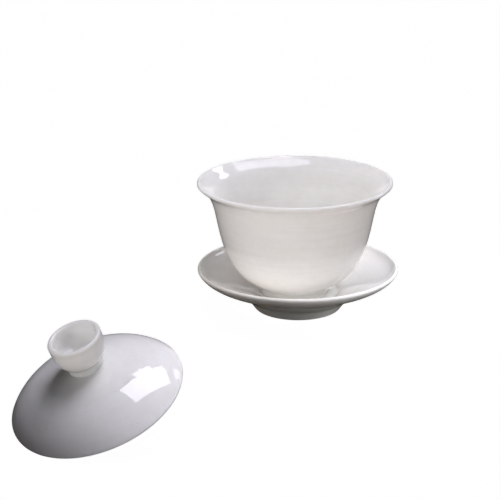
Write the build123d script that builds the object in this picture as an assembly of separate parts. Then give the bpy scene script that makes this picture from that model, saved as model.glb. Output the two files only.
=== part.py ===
from build123d import *
import os
from math import sin, cos, radians

# Gaiwan: a lidded tea bowl on its saucer, white glazed porcelain, in millimetres.
# The bowl stands on the saucer. The lid is off and lies tilted on the table, in front and to the left.
# Origin: centre of the saucer's foot ring, on the table. +Z is up and the front is toward -Y.

# ---- saucer ----
saucer_r = 50.4            # outer radius of the rim
saucer_h = 21.5            # table to the top of the rim
saucer_lip = 1.9           # thickness of the rounded rim
saucer_foot_r = 21.5       # foot ring, outside, on the table
saucer_foot_bore_r = 18.9  # foot ring, inside, on the table
saucer_crease_r = 25.5     # where the flared foot meets the underside
saucer_crease_z = 5.3
saucer_recess_z = 4.6      # ceiling of the hollow under the saucer
well_r = 20.3              # level well that takes the bowl's foot
well_z = 8.0               # height of the well's floor

# ---- bowl ----
bowl_shift_x = -1.5        # the bowl stands a little to one side in the wider well
bowl_rim_r = 48.5
bowl_top_z = 66.1
bowl_lip = 1.8             # thickness of the rounded lip
bowl_foot_r = 17.0
bowl_foot_bore_r = 14.2
bowl_crease_r = 17.5       # where the belly starts above the foot ring
bowl_crease_z = 11.4
bowl_recess_z = 11.0       # ceiling of the hollow inside the foot ring
bowl_floor_z = 14.2        # inside floor at the centre

# ---- lid ----
lid_r = 37.7
lid_lip = 1.9              # thickness of the rounded rim
crown_r = 8.9              # flat on the crown where the knob is joined with slip
crown_z = 16.0             # height of that flat above the rim plane
lid_hollow_z = 13.9        # inside of the crown above the rim plane
lid_tilt = 22.5            # lean of the lid's axis from upright, in degrees
lid_turn = 225.0           # direction the axis leans to, from +X toward +Y, in degrees
lid_centre_x = -88.3       # centre of the rim plane as it lies on the table
lid_centre_y = -145.2

# ---- knob ----
knob_r = 11.5              # outside of the cup's mouth
knob_top = 31.6            # top of the cup's lip above the lid's rim plane
knob_lip = 2.2
knob_base_r = 7.5
knob_neck_r = 6.9
knob_floor_z = 21.5        # bottom of the cup's hollow
knob_shift_x = -1.1        # the knob was joined by hand, a little off the crown's middle
knob_shift_y = -0.6

foot_edge = 0.5            # rounding of the foot rings' edges
inner_corner = 1.2         # soft corners left by the turning tool


def at(r, z):
    """Point of an outline: distance from the axis and height."""
    return (r, 0, z)


def heading(angle):
    """Direction in the outline's plane, in degrees up from outward."""
    return (cos(radians(angle)), 0, sin(radians(angle)))


def opposite(angle):
    return heading(angle + 180)


def on_lip(centre_r, centre_z, radius, angle):
    return at(centre_r + radius * cos(radians(angle)), centre_z + radius * sin(radians(angle)))


def lip_arc(centre_r, centre_z, radius, lean):
    """Half-round lip at the end of a wall that arrives heading along lean."""
    return ThreePointArc(
        on_lip(centre_r, centre_z, radius, lean - 90),
        on_lip(centre_r, centre_z, radius, lean),
        on_lip(centre_r, centre_z, radius, lean + 90),
    )


def smooth(first_heading, last_heading, *points):
    """Smooth curve through the points that leaves and arrives along the two headings."""
    return Spline(*points, tangents=[first_heading, last_heading], tangent_scalars=[1, 1])


def turned(*pieces):
    """Spins an outline about Z, the way clay is turned on the wheel."""
    outline = Wire([edge for piece in pieces for edge in piece.edges()])
    return Solid.revolve(Face(outline), 360, Axis.Z)


def circles_at(solid, r, z):
    """Circular edges of a turned solid at one radius and height."""
    return [
        e for e in solid.edges().filter_by(GeomType.CIRCLE)
        if abs(e.radius - r) < 0.01 and abs(e.center(CenterOf.BOUNDING_BOX).Z - z) < 0.01
    ]


# ---- saucer: foot ring, flared underside, upturned rim, sloping inside and level well ----
s_lip = saucer_lip / 2
s_lip_r = saucer_r - s_lip
s_lip_z = saucer_h - s_lip
s_lean = 60
saucer_rim = lip_arc(s_lip_r, s_lip_z, s_lip, s_lean)
saucer_outside = smooth(
    heading(35),
    heading(s_lean),
    at(saucer_crease_r, saucer_crease_z),
    at(31.5, 9.1),
    at(38.0, 12.4),
    at(44.9, 15.4),
    saucer_rim @ 0,
)
saucer_inside = smooth(
    opposite(s_lean),
    opposite(25),
    saucer_rim @ 1,
    at(44.0, 17.7),
    at(36.5, 15.0),
    at(28.5, 11.7),
    at(well_r + 1.6, 9.1),
)
saucer = turned(
    Polyline(
        at(0, well_z),
        at(0, saucer_recess_z),
        at(saucer_foot_bore_r - 0.6, saucer_recess_z),
        at(saucer_foot_bore_r, 0),
        at(saucer_foot_r, 0),
        at(saucer_crease_r, saucer_crease_z),
    ),
    saucer_outside,
    saucer_rim,
    saucer_inside,
    Polyline(saucer_inside @ 1, at(well_r, well_z), at(0, well_z)),
)
saucer = fillet(
    circles_at(saucer, saucer_foot_bore_r, 0) + circles_at(saucer, saucer_foot_r, 0), foot_edge
)
saucer = fillet(circles_at(saucer, saucer_foot_bore_r - 0.6, saucer_recess_z), inner_corner)
saucer = fillet(circles_at(saucer, well_r, well_z), 0.6)

# ---- bowl: foot ring, round belly, nearly straight wall and a wide flared lip ----
b_lip = bowl_lip / 2
b_lip_r = bowl_rim_r - b_lip
b_lip_z = bowl_top_z - b_lip
b_lean = 48
bowl_rim = lip_arc(b_lip_r, b_lip_z, b_lip, b_lean)
bowl_outside = smooth(
    heading(33),
    heading(b_lean),
    at(bowl_crease_r, bowl_crease_z),
    at(25.2, 16.5),
    at(32.8, 26.0),
    at(36.9, 37.0),
    at(39.3, 48.0),
    at(41.8, 57.2),
    at(44.9, 61.9),
    bowl_rim @ 0,
)
bowl_inside = smooth(
    opposite(b_lean),
    opposite(0),
    bowl_rim @ 1,
    at(41.5, 61.0),
    at(37.7, 52.1),
    at(36.0, 44.2),
    at(33.4, 34.7),
    at(29.1, 25.5),
    at(21.0, 17.4),
    at(11.0, 14.6),
    at(0, bowl_floor_z),
)
bowl = turned(
    Polyline(
        at(0, bowl_floor_z),
        at(0, bowl_recess_z),
        at(bowl_foot_bore_r - 0.6, bowl_recess_z),
        at(bowl_foot_bore_r, well_z),
        at(bowl_foot_r, well_z),
        at(bowl_crease_r, bowl_crease_z),
    ),
    bowl_outside,
    bowl_rim,
    bowl_inside,
)
bowl = fillet(
    circles_at(bowl, bowl_foot_bore_r, well_z) + circles_at(bowl, bowl_foot_r, well_z), foot_edge
)
bowl = fillet(circles_at(bowl, bowl_foot_bore_r - 0.6, bowl_recess_z), 0.9)
bowl = Pos(bowl_shift_x, 0, 0) * bowl

# ---- lid: shallow dome with a flat on its crown, thrown upside down and turned ----
l_lip = lid_lip / 2
l_lean = -55
lid_rim = lip_arc(lid_r - l_lip, l_lip, l_lip, l_lean)
lid_inside = smooth(
    heading(0),
    heading(l_lean),
    at(0, lid_hollow_z),
    at(19.2, 10.9),
    at(28.8, 6.5),
    lid_rim @ 0,
)
lid_outside = smooth(
    opposite(l_lean),
    opposite(-9),
    lid_rim @ 1,
    at(30.0, 8.5),
    at(20.0, 13.1),
    at(crown_r, crown_z),
)
lid_dome = turned(
    lid_inside,
    lid_rim,
    lid_outside,
    Polyline(at(crown_r, crown_z), at(0, crown_z), at(0, lid_hollow_z)),
)

# ---- knob: a small thick-lipped cup on a short neck, joined to the crown with slip ----
k_lip = knob_lip / 2
k_lean = 86
knob_rim = lip_arc(knob_r - k_lip, knob_top - k_lip, k_lip, k_lean)
knob_outside = smooth(
    heading(155),
    heading(k_lean),
    at(knob_base_r, crown_z),
    at(knob_neck_r, 17.6),
    at(8.7, 19.9),
    at(10.8, 23.4),
    at(11.4, 27.3),
    knob_rim @ 0,
)
knob_inside = smooth(
    opposite(k_lean),
    opposite(0),
    knob_rim @ 1,
    at(9.2, 27.0),
    at(7.7, 23.9),
    at(4.3, 21.9),
    at(0, knob_floor_z),
)
lid_knob = turned(
    Polyline(at(0, knob_floor_z), at(0, crown_z), at(knob_base_r, crown_z)),
    knob_outside,
    knob_rim,
    knob_inside,
)

lid_knob = Pos(knob_shift_x, knob_shift_y, 0) * lid_knob

# ---- the lid lies on one point of its rim, its axis leaning to the front and left ----
tilt = radians(lid_tilt)
turn = radians(lid_turn)
lid_centre_z = l_lip + (lid_r - l_lip) * sin(tilt) - l_lip * cos(tilt)
lid_place = Plane(
    origin=(lid_centre_x, lid_centre_y, lid_centre_z),
    x_dir=(cos(tilt) * cos(turn), cos(tilt) * sin(turn), -sin(tilt)),
    z_dir=(sin(tilt) * cos(turn), sin(tilt) * sin(turn), cos(tilt)),
).location
lid_dome = lid_place * lid_dome
lid_knob = lid_place * lid_knob

os.makedirs("parts", exist_ok=True)
pieces = {"saucer": saucer, "bowl": bowl, "lid_dome": lid_dome, "lid_knob": lid_knob}
for name, piece in pieces.items():
    piece.label = name
    export_step(piece, f"parts/{name}.step")
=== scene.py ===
import math

import bmesh
import bpy
import numpy as np
from mathutils import Matrix, Vector


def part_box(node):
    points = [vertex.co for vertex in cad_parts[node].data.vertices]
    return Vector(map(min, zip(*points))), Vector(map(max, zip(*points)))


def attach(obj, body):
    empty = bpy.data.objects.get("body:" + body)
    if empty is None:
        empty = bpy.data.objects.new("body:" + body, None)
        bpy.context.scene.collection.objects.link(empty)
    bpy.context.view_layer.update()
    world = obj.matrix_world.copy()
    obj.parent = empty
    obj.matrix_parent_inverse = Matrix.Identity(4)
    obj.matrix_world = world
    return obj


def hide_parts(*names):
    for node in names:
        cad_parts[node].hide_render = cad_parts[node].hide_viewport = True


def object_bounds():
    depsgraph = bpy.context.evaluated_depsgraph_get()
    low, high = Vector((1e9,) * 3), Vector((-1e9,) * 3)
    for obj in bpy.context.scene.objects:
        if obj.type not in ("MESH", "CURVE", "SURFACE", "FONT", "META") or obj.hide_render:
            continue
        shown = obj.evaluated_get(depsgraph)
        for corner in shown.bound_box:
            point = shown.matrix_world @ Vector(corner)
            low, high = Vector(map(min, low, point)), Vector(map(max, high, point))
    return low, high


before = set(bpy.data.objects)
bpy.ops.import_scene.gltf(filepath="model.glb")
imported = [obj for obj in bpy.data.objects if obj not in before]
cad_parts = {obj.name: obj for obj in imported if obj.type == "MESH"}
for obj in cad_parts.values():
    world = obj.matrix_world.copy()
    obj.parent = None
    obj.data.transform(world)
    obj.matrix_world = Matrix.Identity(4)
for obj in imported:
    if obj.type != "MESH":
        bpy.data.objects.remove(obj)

cad_low, cad_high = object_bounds()

MM = 0.001
STEPS_ROUND = 224          # faces round each turned piece
PROFILE_STEP = 0.8         # mm between points along an outline
LIP_STEPS = 14             # points round a lip
CORNER_STEPS = 7           # points round a softened corner
SOFTEN_GAP = 0.15          # mm left free of points at both ends of a softened corner

# where the turned pieces stand: the bowl's axis from its imported box, the lid's tilt, turn and place given
BOWL_AXIS_X = sum(corner[0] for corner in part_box("bowl")) / 2
LID_TILT = math.radians(22.5)
LID_TURN = math.radians(225.0)
LID_X, LID_Y = -88.3, -145.2     # mm
KNOB_SHIFT = (-1.1, -0.6)        # mm the knob stands off the dome's own axis


# ---------------------------------------------------------------- outlines
def unit(angle):
    return np.array([math.cos(math.radians(angle)), math.sin(math.radians(angle))])


def smooth(first, last, *points):
    """Points along the smooth curve through points, leaving at angle first and arriving at angle last."""
    p = np.array(points, float)
    h = np.linalg.norm(np.diff(p, axis=0), axis=1)
    count = len(p)
    a = np.eye(count)
    b = np.zeros((count, 2))
    b[0], b[-1] = unit(first), unit(last)
    for i in range(1, count - 1):
        a[i, i - 1], a[i, i + 1] = 1 / h[i - 1], 1 / h[i]
        a[i, i] = 2 / h[i - 1] + 2 / h[i]
        b[i] = 3 * ((p[i] - p[i - 1]) / h[i - 1] ** 2 + (p[i + 1] - p[i]) / h[i] ** 2)
    slope = np.linalg.solve(a, b)
    out = []
    for i in range(count - 1):
        n = max(2, round(h[i] / PROFILE_STEP))
        for t in np.arange(n) / n:
            out.append(
                (2 * t**3 - 3 * t**2 + 1) * p[i]
                + (t**3 - 2 * t**2 + t) * h[i] * slope[i]
                + (3 * t**2 - 2 * t**3) * p[i + 1]
                + (t**3 - t**2) * h[i] * slope[i + 1]
            )
    out.append(p[-1])
    return out


def lip(centre, radius, lean):
    """Points round the half circle of a lip."""
    angles = np.linspace(lean - 90, lean + 90, LIP_STEPS)
    return [np.array(centre) + radius * unit(angle) for angle in angles]


def straight(*points):
    """Points along straight lines, close enough together for the bump and shading to stay even."""
    out = []
    for a, b in zip(points, points[1:]):
        a, b = np.array(a, float), np.array(b, float)
        n = max(1, round(np.linalg.norm(b - a) / (2 * PROFILE_STEP)))
        out += [a + (b - a) * k / n for k in range(n)]
    out.append(np.array(points[-1], float))
    return out


def join(*runs):
    """One outline from runs that meet end to end, without their doubled points."""
    out = []
    for run in runs:
        for point in run:
            if not out or np.linalg.norm(point - out[-1]) > 1e-4:
                out.append(np.array(point))
    return out


def soften(outline, corner, size):
    """The outline with the corner nearest to corner turned into a curve that starts size mm before it."""
    p = np.array(outline)
    s = np.concatenate([[0], np.cumsum(np.linalg.norm(np.diff(p, axis=0), axis=1))])
    k = int(np.argmin(np.linalg.norm(p - np.array(corner), axis=1)))
    before, after = s[k] - size, s[k] + size
    start = np.array([np.interp(before, s, p[:, 0]), np.interp(before, s, p[:, 1])])
    end = np.array([np.interp(after, s, p[:, 0]), np.interp(after, s, p[:, 1])])
    bend = [
        (1 - t) ** 2 * start + 2 * t * (1 - t) * p[k] + t * t * end
        for t in np.linspace(0, 1, CORNER_STEPS)
    ]
    kept_before = [q for q, d in zip(p, s) if d < before - SOFTEN_GAP]
    kept_after = [q for q, d in zip(p, s) if d > after + SOFTEN_GAP]
    return kept_before + bend + kept_after


# ---------------------------------------------------------------- turned meshes
def turned(name, outline, place):
    """A closed solid from an outline in mm that starts and ends on the axis, set where place says."""
    bm = bmesh.new()
    rings = []
    for r, z in outline:
        if r < 1e-3:
            rings.append([bm.verts.new((0, 0, z * MM))])
            continue
        ring = []
        for k in range(STEPS_ROUND):
            a = 2 * math.pi * k / STEPS_ROUND
            ring.append(bm.verts.new((r * MM * math.cos(a), r * MM * math.sin(a), z * MM)))
        rings.append(ring)
    for low, high in zip(rings, rings[1:]):
        for k in range(STEPS_ROUND):
            n = (k + 1) % STEPS_ROUND
            if len(low) == 1:
                bm.faces.new((low[0], high[n], high[k]))
            elif len(high) == 1:
                bm.faces.new((low[k], low[n], high[0]))
            else:
                bm.faces.new((low[k], low[n], high[n], high[k]))
    bmesh.ops.recalc_face_normals(bm, faces=bm.faces)
    for face in bm.faces:
        face.smooth = True
    bm.transform(place)
    mesh = bpy.data.meshes.new(name)
    bm.to_mesh(mesh)
    bm.free()
    piece = bpy.data.objects.new(name, mesh)
    bpy.context.collection.objects.link(piece)
    return piece


saucer_lip = lip((49.45, 20.55), 0.95, 60)
saucer_line = join(
    straight((0, 4.6), (18.3, 4.6), (18.9, 0), (21.5, 0), (25.5, 5.3)),
    smooth(35, 60, (25.5, 5.3), (31.5, 9.1), (38.0, 12.4), (44.9, 15.4), saucer_lip[0]),
    saucer_lip,
    smooth(240, 205, saucer_lip[-1], (44.0, 17.7), (36.5, 15.0), (28.5, 11.7), (21.9, 9.1)),
    straight((21.9, 9.1), (20.3, 8.0), (0, 8.0)),
)
for corner, size in (
    ((18.3, 4.6), 0.9), ((18.9, 0), 0.5), ((21.5, 0), 0.6), ((25.5, 5.3), 0.8),
    ((20.3, 8.0), 0.7), ((21.9, 9.1), 0.6),
):
    saucer_line = soften(saucer_line, corner, size)

bowl_lip = lip((47.6, 65.2), 0.9, 48)
bowl_line = join(
    straight((0, 11.0), (13.6, 11.0), (14.2, 8.0), (17.0, 8.0), (17.5, 11.4)),
    smooth(33, 48, (17.5, 11.4), (25.2, 16.5), (32.8, 26.0), (36.9, 37.0), (39.3, 48.0), (41.8, 57.2),
           (44.9, 61.9), bowl_lip[0]),
    bowl_lip,
    smooth(228, 180, bowl_lip[-1], (41.5, 61.0), (37.7, 52.1), (36.0, 44.2), (33.4, 34.7), (29.1, 25.5),
           (21.0, 17.4), (11.0, 14.6), (0, 14.2)),
)
for corner, size in (((13.6, 11.0), 0.8), ((14.2, 8.0), 0.5), ((17.0, 8.0), 0.5), ((17.5, 11.4), 0.8)):
    bowl_line = soften(bowl_line, corner, size)

LID_R, LID_LIP_R = 37.7, 0.95
lid_lip = lip((LID_R - LID_LIP_R, LID_LIP_R), LID_LIP_R, -55)
dome_line = join(
    smooth(0, -55, (0, 13.9), (19.2, 10.9), (28.8, 6.5), lid_lip[0]),
    lid_lip,
    smooth(125, 171, lid_lip[-1], (30.0, 8.5), (20.0, 13.1), (8.9, 16.0)),
    straight((8.9, 16.0), (0, 16.0)),
)

KNOB_SINK = 0.25           # mm the knob's base goes into the dome, so that no gap shows at the joint
knob_lip = lip((10.4, 30.5), 1.1, 86)
knob_line = join(
    straight((0, 16.0 - KNOB_SINK), (7.6, 16.0 - KNOB_SINK), (7.5, 16.0)),
    smooth(155, 86, (7.5, 16.0), (6.9, 17.6), (8.7, 19.9), (10.8, 23.4), (11.4, 27.3), knob_lip[0]),
    knob_lip,
    smooth(266, 180, knob_lip[-1], (9.2, 27.0), (7.7, 23.9), (4.3, 21.9), (0, 21.5)),
)

# the lid leans on its rim: its own +Z is the axis of the dome and knob
lean_way = Vector((math.cos(LID_TURN), math.sin(LID_TURN), 0))
straight_up = Vector((0, 0, 1))
lid_x = math.cos(LID_TILT) * lean_way - math.sin(LID_TILT) * straight_up
lid_z = math.sin(LID_TILT) * lean_way + math.cos(LID_TILT) * straight_up
lid_y = lid_z.cross(lid_x)
lid_rest_z = LID_LIP_R + (LID_R - LID_LIP_R) * math.sin(LID_TILT) - LID_LIP_R * math.cos(LID_TILT)
lid_place = Matrix.Identity(4)
for row in range(3):
    lid_place[row][0], lid_place[row][1], lid_place[row][2] = lid_x[row], lid_y[row], lid_z[row]
lid_place.translation = Vector((LID_X, LID_Y, lid_rest_z)) * MM

knob_place = lid_place @ Matrix.Translation(Vector((*KNOB_SHIFT, 0)) * MM)
saucer_place = Matrix.Identity(4)
bowl_place = Matrix.Translation((BOWL_AXIS_X, 0, 0))
saucer = turned("saucer_shell", saucer_line, saucer_place)
bowl = turned("bowl_shell", bowl_line, bowl_place)
dome = turned("lid_dome_shell", dome_line, lid_place)
knob = turned("lid_knob_shell", knob_line, knob_place)


# ---------------------------------------------------------------- glaze
def node(tree, kind, values=(), **settings):
    n = tree.nodes.new(kind)
    for key, value in settings.items():
        setattr(n, key, value)
    for key, value in dict(values).items():
        n.inputs[key].default_value = value
    return n


def ramp(tree, source, *stops):
    n = tree.nodes.new("ShaderNodeValToRGB")
    n.color_ramp.elements[0].position, n.color_ramp.elements[0].color = stops[0][0], (*stops[0][1], 1)
    n.color_ramp.elements[1].position, n.color_ramp.elements[1].color = stops[-1][0], (*stops[-1][1], 1)
    for place, colour in stops[1:-1]:
        n.color_ramp.elements.new(place).color = (*colour, 1)
    tree.links.new(source, n.inputs["Fac"])
    return n.outputs["Color"]


def mix(tree, factor, a, b, blend="MIX"):
    n = tree.nodes.new("ShaderNodeMix")
    n.data_type, n.blend_type = "RGBA", blend
    for socket, value in ((n.inputs[0], factor), (n.inputs[6], a), (n.inputs[7], b)):
        if isinstance(value, bpy.types.NodeSocket):
            tree.links.new(value, socket)
        else:
            socket.default_value = value if isinstance(value, (int, float)) else (*value, 1)
    return n.outputs[2]


def band(tree, z, low, high, fade):
    """1 where z is between low and high, in metres, fading to 0 over fade."""
    up = node(tree, "ShaderNodeMapRange", {1: low - fade, 2: low, 3: 0.0, 4: 1.0})
    down = node(tree, "ShaderNodeMapRange", {1: high, 2: high + fade, 3: 1.0, 4: 0.0})
    both = node(tree, "ShaderNodeMath", operation="MULTIPLY")
    tree.links.new(z, up.inputs[0])
    tree.links.new(z, down.inputs[0])
    tree.links.new(up.outputs[0], both.inputs[0])
    tree.links.new(down.outputs[0], both.inputs[1])
    return both.outputs[0]


GLAZE_LIGHT = (0.885, 0.88, 0.868)
GLAZE_DEEP = (0.85, 0.848, 0.832)
# a darker, greener tint, put in a band round each piece's crease height
CREASE_TINT = (0.74, 0.76, 0.70)
SPECK = (0.52, 0.48, 0.42)
BISCUIT = (0.60, 0.52, 0.42)
BISCUIT_ROUGHNESS = 0.75
GLOSS = (0.012, 0.028)           # roughness of the glaze, from its smoothest to its dullest
CREASE_TINT_SHARE = 0.3                 # how far the band round each piece's crease height goes towards the darker, greener tint
DRAWN_LINE = 1.7                 # mm between the lines drawn round a turned piece
WAVE, TURNING, PEEL = 0.04, 0.004, 0.002     # mm of relief
GLAZE_IOR = 1.54
BODY_SCATTER = 0.5
SCATTER_RADIUS = (1.0, 0.95, 0.9)
SCATTER_DEPTH = 3.0              # mm


def porcelain(name, stand, seed, crease_height, bare):
    """Clear glaze over white porcelain, on a piece turned about stand's Z. crease_height is the height, in
    mm, round which the colour turns darker and greener, and bare the height of a bare foot ring's edge (or
    None)."""
    material = bpy.data.materials.new(name)
    material.use_nodes = True
    tree = material.node_tree
    shader = tree.nodes["Principled BSDF"]
    link = tree.links.new
    place = node(tree, "ShaderNodeTexCoord")
    own = node(tree, "ShaderNodeMapping", vector_type="TEXTURE")
    own.inputs["Location"].default_value = stand.to_translation()
    own.inputs["Rotation"].default_value = stand.to_euler()
    link(place.outputs["Object"], own.inputs["Vector"])
    shift = node(tree, "ShaderNodeMapping")
    shift.inputs["Location"].default_value = (seed * 0.37, seed * 0.21, seed * 0.13)
    link(own.outputs[0], shift.inputs["Vector"])
    axes = node(tree, "ShaderNodeSeparateXYZ")
    link(own.outputs[0], axes.inputs[0])

    def noise(scale, detail=3.0, rough=0.5):
        n = node(tree, "ShaderNodeTexNoise", {"Scale": scale, "Detail": detail, "Roughness": rough})
        link(shift.outputs[0], n.inputs["Vector"])
        return n.outputs[0]

    cloud = ramp(tree, noise(42.0), (0.3, GLAZE_DEEP), (0.7, GLAZE_LIGHT))
    mottle = ramp(tree, noise(260.0), (0.35, (0.975, 0.975, 0.97)), (0.65, (1.0, 1.0, 1.0)))
    colour = mix(tree, 1.0, cloud, mottle, "MULTIPLY")
    drawn = node(tree, "ShaderNodeMapping")
    drawn.inputs["Scale"].default_value = (9.0, 9.0, 1.0 / (DRAWN_LINE * MM))
    link(shift.outputs[0], drawn.inputs["Vector"])
    lines = node(tree, "ShaderNodeTexNoise", {"Scale": 1.0, "Detail": 2.0, "Roughness": 0.6})
    link(drawn.outputs[0], lines.inputs["Vector"])
    streak = ramp(tree, lines.outputs[0], (0.35, (0.972, 0.97, 0.967)), (0.65, (1.0, 1.0, 1.0)))
    colour = mix(tree, 1.0, colour, streak, "MULTIPLY")
    specks = ramp(tree, noise(950.0, 1.0), (0.75, (0, 0, 0)), (0.82, (0.55, 0.55, 0.55)))
    colour = mix(tree, specks, colour, SPECK)
    # the colour turns darker and greener in a band round the crease height
    crease_band = band(tree, axes.outputs["Z"], (crease_height - 1.2) * MM, (crease_height + 0.4) * MM, 1.6 * MM)
    crease_amount = node(tree, "ShaderNodeMath", {1: CREASE_TINT_SHARE}, operation="MULTIPLY")
    link(crease_band, crease_amount.inputs[0])
    colour = mix(tree, crease_amount.outputs[0], colour, CREASE_TINT)

    gloss = node(tree, "ShaderNodeMapRange", {1: 0.3, 2: 0.7, 3: GLOSS[0], 4: GLOSS[1]})
    link(noise(120.0), gloss.inputs[0])
    rough = gloss.outputs[0]
    if bare is not None:
        edge = node(tree, "ShaderNodeMath", {2: 0.0}, operation="MULTIPLY_ADD")
        wander = noise(90.0)
        edge.inputs[1].default_value = 0.6 * MM
        link(wander, edge.inputs[0])
        link(axes.outputs["Z"], edge.inputs[2])
        low_edge, high_edge = (bare + 0.25) * MM, (bare + 0.45) * MM
        unglazed = node(tree, "ShaderNodeMapRange", {1: low_edge, 2: high_edge, 3: 1.0, 4: 0.0})
        link(edge.outputs[0], unglazed.inputs[0])
        grain = ramp(tree, noise(1400.0, 4.0), (0.3, [c * 0.86 for c in BISCUIT]), (0.7, BISCUIT))
        colour = mix(tree, unglazed.outputs[0], colour, grain)
        matt = node(tree, "ShaderNodeMapRange", {1: 0.0, 2: 1.0, 4: BISCUIT_ROUGHNESS})
        link(unglazed.outputs[0], matt.inputs[0])
        link(rough, matt.inputs[3])
        rough = matt.outputs[0]
    link(colour, shader.inputs["Base Color"])
    link(rough, shader.inputs["Roughness"])

    # hand finishing: slow waves in the body, fine turning lines, and the glaze's orange peel
    turning = {"Scale": 120.0, "Distortion": 1.6, "Detail": 2.0, "Detail Scale": 1.2}
    rings = node(tree, "ShaderNodeTexWave", turning, wave_type="RINGS", rings_direction="Z")
    link(own.outputs[0], rings.inputs["Vector"])
    normal = None
    relief = ((noise(34.0, 1.0), WAVE), (rings.outputs[0], TURNING), (noise(620.0, 2.0), PEEL))
    for height, distance in relief:
        bump = node(tree, "ShaderNodeBump", {"Strength": 1.0, "Distance": distance * MM})
        link(height, bump.inputs["Height"])
        if normal is not None:
            link(normal, bump.inputs["Normal"])
        normal = bump.outputs[0]
    link(normal, shader.inputs["Normal"])

    shader.inputs["IOR"].default_value = GLAZE_IOR
    shader.inputs["Subsurface Weight"].default_value = BODY_SCATTER
    shader.inputs["Subsurface Radius"].default_value = SCATTER_RADIUS
    shader.inputs["Subsurface Scale"].default_value = SCATTER_DEPTH * MM
    return material


for piece, cad_node, body, slot, stand, seed, crease_height, bare in (
    (saucer, "saucer", "saucer", "saucer_glaze", saucer_place, 1, 5.3, 0.0),
    (bowl, "bowl", "bowl", "bowl_glaze", bowl_place, 2, 11.4, 8.0),
    (dome, "lid_dome", "lid", "lid_glaze", lid_place, 3, 17.2, None),
    (knob, "lid_knob", "lid", "knob_glaze", knob_place, 4, 16.3, None),
):
    piece.data.materials.append(porcelain(slot, stand, seed, crease_height, bare))
    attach(piece, body)
    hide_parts(cad_node)


# ---------------------------------------------------------------- studio
def direction(azimuth, elevation):
    """Unit vector towards an azimuth, from +Y towards +X, and an elevation, both in degrees."""
    a, e = math.radians(azimuth), math.radians(elevation)
    return Vector((math.cos(e) * math.sin(a), math.cos(e) * math.cos(a), math.sin(e)))


def soft_light(name, aim, towards, size, radiance, colour, along):
    """A softbox seen from aim in the direction towards, its long side turned towards along. radiance is its
    brightness, where a white page is 1."""
    data = bpy.data.lights.new(name, "AREA")
    data.shape, data.size, data.size_y = "RECTANGLE", size[0], size[1]
    data.energy = radiance * math.pi * size[0] * size[1]
    data.color = colour
    light = bpy.data.objects.new(name, data)
    bpy.context.collection.objects.link(light)
    across = towards.cross(Vector(along)).normalized()
    turn = Matrix((across.cross(towards), across, towards)).transposed().to_4x4()
    light.matrix_world = Matrix.Translation(Vector(aim) + towards * LIGHT_DISTANCE) @ turn
    light.visible_camera = False
    return light


LIGHT_DISTANCE = 1.5
COOL = (0.91, 0.885, 1.0)
PLAIN = (1.0, 0.985, 1.0)
WARM = (1.0, 0.87, 0.8)
WIDE = (1.2, 1.2)
UPRIGHT = (0.01, 0.02, 1)                # leans a hair, so that it is never in line with a light
OVERHEAD_LONG = (0.64, 0.72, -0.4)       # the way the overhead softbox's long side runs
lid_middle = (-0.088, -0.145, 0.03)
bowl_middle = (0.0, 0.0, 0.04)
overhead = Vector((0.281, 0.218, 0.935)).normalized()
wing = Vector((0.135, 0.4, 0.9)).normalized()

lit = {}
for key, piece in (("saucer", saucer), ("bowl", bowl), ("dome", dome), ("knob", knob)):
    lit[key] = bpy.data.collections.new("lit_" + key)
    lit[key].objects.link(piece)

# each softbox has its own strength on each piece, and the wide fills don't show as reflections
for name, aim, towards, size, colour, shows, levels in (
    ("overhead", lid_middle, overhead, (1.22, 0.64), COOL, True,
     {"saucer": 4.9, "bowl": 3.8, "dome": 6.8, "knob": 4.9}),
    ("wing", lid_middle, wing, (0.4, 0.2), COOL, True,
     {"bowl": 3.0, "dome": 6.3}),
    ("window", bowl_middle, direction(48, 35), (0.26, 0.34), COOL, True,
     {"saucer": 4.0, "bowl": 6.5, "dome": 3.0}),
    ("right", bowl_middle, direction(112, 32), WIDE, PLAIN, False,
     {"saucer": 5.6, "dome": 1.8, "knob": 1.8}),
    ("right_low", bowl_middle, direction(85, 5), WIDE, PLAIN, False,
     {"saucer": 0.5, "bowl": 1.8}),
    ("right_front", bowl_middle, direction(135, 12), (1.0, 1.0), COOL, False,
     {"bowl": 0.6, "dome": 1.7}),
    ("front", bowl_middle, direction(168, 5), WIDE, PLAIN, False,
     {"saucer": 0.4, "bowl": 0.4}),
    ("front_high", bowl_middle, direction(170, 42), (1.0, 1.0), PLAIN, False,
     {"saucer": 0.5}),
    ("front_left", bowl_middle, direction(212, 12), WIDE, PLAIN, False,
     {"saucer": 0.4, "bowl": 3.1, "knob": 2.1}),
    ("far_left", bowl_middle, direction(285, 28), WIDE, WARM, False,
     {"saucer": 2.5, "bowl": 0.5}),
    ("back_left", bowl_middle, direction(325, 45), (0.8, 0.8), PLAIN, False,
     {"bowl": 1.5}),
    ("back", bowl_middle, direction(5, 28), WIDE, PLAIN, False,
     {"saucer": 2.3, "bowl": 5.2, "knob": 0.4}),
    ("under", bowl_middle, direction(170, -45), WIDE, WARM, False,
     {"saucer": 0.05, "bowl": 1.2, "knob": 1.1}),
    ("under_lid", bowl_middle, direction(170, -45), WIDE, COOL, False,
     {"dome": 0.55}),
):
    along = OVERHEAD_LONG if aim is lid_middle else UPRIGHT
    for key, radiance in levels.items():
        light = soft_light(name + "_" + key, aim, towards, size, radiance, colour, along)
        light.visible_glossy = shows
        light.light_linking.receiver_collection = lit[key]
        if light.name == "under_bowl":
            # only the bowl shades this one: it reaches the belly through the saucer, which no real lamp
            # does, and makes up for light that the saucer's glaze would throw up
            light.light_linking.blocker_collection = lit["bowl"]

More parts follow.
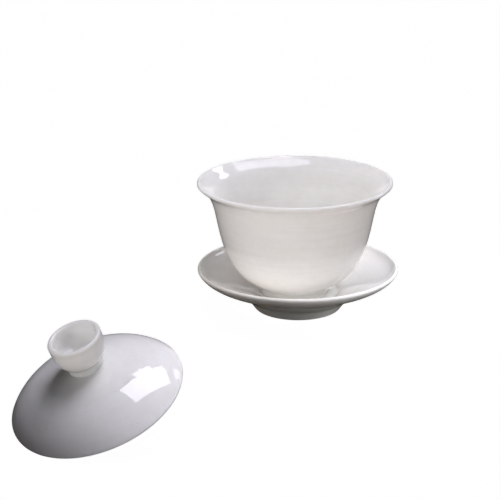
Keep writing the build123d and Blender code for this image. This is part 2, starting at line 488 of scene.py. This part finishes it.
world = bpy.data.worlds.new("studio")
bpy.context.scene.world = world
world.use_nodes = True
tree = world.node_tree
sky = node(tree, "ShaderNodeTexCoord")
sky_axes = node(tree, "ShaderNodeSeparateXYZ")
tree.links.new(sky.outputs["Generated"], sky_axes.inputs[0])
level = node(tree, "ShaderNodeMapRange", {1: -1.0, 2: 1.0, 3: 0.0, 4: 1.0})
tree.links.new(sky_axes.outputs["Z"], level.inputs[0])
glow = ramp(tree, level.outputs[0], (0.0, (0.02, 0.018, 0.015)), (0.45, (0.03, 0.025, 0.02)),
            (0.6, (0.05, 0.05, 0.052)), (1.0, (0.08, 0.08, 0.084)))
tree.links.new(glow, tree.nodes["Background"].inputs["Color"])
tree.nodes["Background"].inputs["Strength"].default_value = 1.0


def pale(name, glow_level, albedo):
    """The studio's own surfaces: a pale matt paint that is lit from inside as well, so that it stays even."""
    material = bpy.data.materials.new(name)
    material.use_nodes = True
    shader = material.node_tree.nodes["Principled BSDF"]
    shader.inputs["Base Color"].default_value = (albedo, albedo, albedo, 1)
    shader.inputs["Roughness"].default_value = 0.9
    shader.inputs["Specular IOR Level"].default_value = 0.0
    shader.inputs["Emission Color"].default_value = (1, 1, 1, 1)
    shader.inputs["Emission Strength"].default_value = glow_level
    return material


def sheet(name, half, z):
    bm = bmesh.new()
    bmesh.ops.create_grid(bm, x_segments=2, y_segments=2, size=half)
    mesh = bpy.data.meshes.new(name)
    bm.to_mesh(mesh)
    bm.free()
    out = bpy.data.objects.new(name, mesh)
    out.location.z = z
    bpy.context.collection.objects.link(out)
    return out


STAGE_SIZE = 6.0
FLOOR_GAP = 0.00002        # m the floor lies under the object, so that the two surfaces don't flicker
floor = sheet("floor", STAGE_SIZE, cad_low[2] - FLOOR_GAP)
floor.data.materials.append(pale("floor_paint", 0.955, 0.6))
bm = bmesh.new()
bmesh.ops.create_uvsphere(bm, u_segments=48, v_segments=24, radius=STAGE_SIZE)
backdrop_mesh = bpy.data.meshes.new("backdrop")
bm.to_mesh(backdrop_mesh)
bm.free()
backdrop = bpy.data.objects.new("backdrop", backdrop_mesh)
bpy.context.collection.objects.link(backdrop)
backdrop.data.materials.append(pale("backdrop_paint", 1.0, 0.0))
for part in (floor, backdrop):
    part.visible_diffuse = False
    part.visible_glossy = False
    part.visible_transmission = False
    part.visible_shadow = False

# ---------------------------------------------------------------- camera
ELEVATION, DISTANCE, ROLL = math.radians(18.37), 0.80364, math.radians(-0.46)
TARGET = Vector((-0.02396, 0, 0.02987))
FOCAL_PIXELS, FRAME_PIXELS = 1600.0, 500
forward = Vector((0, math.cos(ELEVATION), -math.sin(ELEVATION)))
right = Vector((1, 0, 0))
up = right.cross(forward)
rolled_right = math.cos(ROLL) * right + math.sin(ROLL) * up
rolled_up = -math.sin(ROLL) * right + math.cos(ROLL) * up
spot = TARGET - forward * DISTANCE
camera_data = bpy.data.cameras.new("camera")
camera_data.sensor_width = 36
camera_data.lens = camera_data.sensor_width * FOCAL_PIXELS / FRAME_PIXELS
camera_data.clip_start, camera_data.clip_end = 0.01, 50
camera = bpy.data.objects.new("camera", camera_data)
bpy.context.collection.objects.link(camera)
camera.matrix_world = Matrix(
    [[rolled_right[i], rolled_up[i], -forward[i], spot[i]] for i in range(3)] + [[0, 0, 0, 1]]
)
bpy.context.scene.camera = camera
bpy.context.scene.view_settings.view_transform = "Standard"
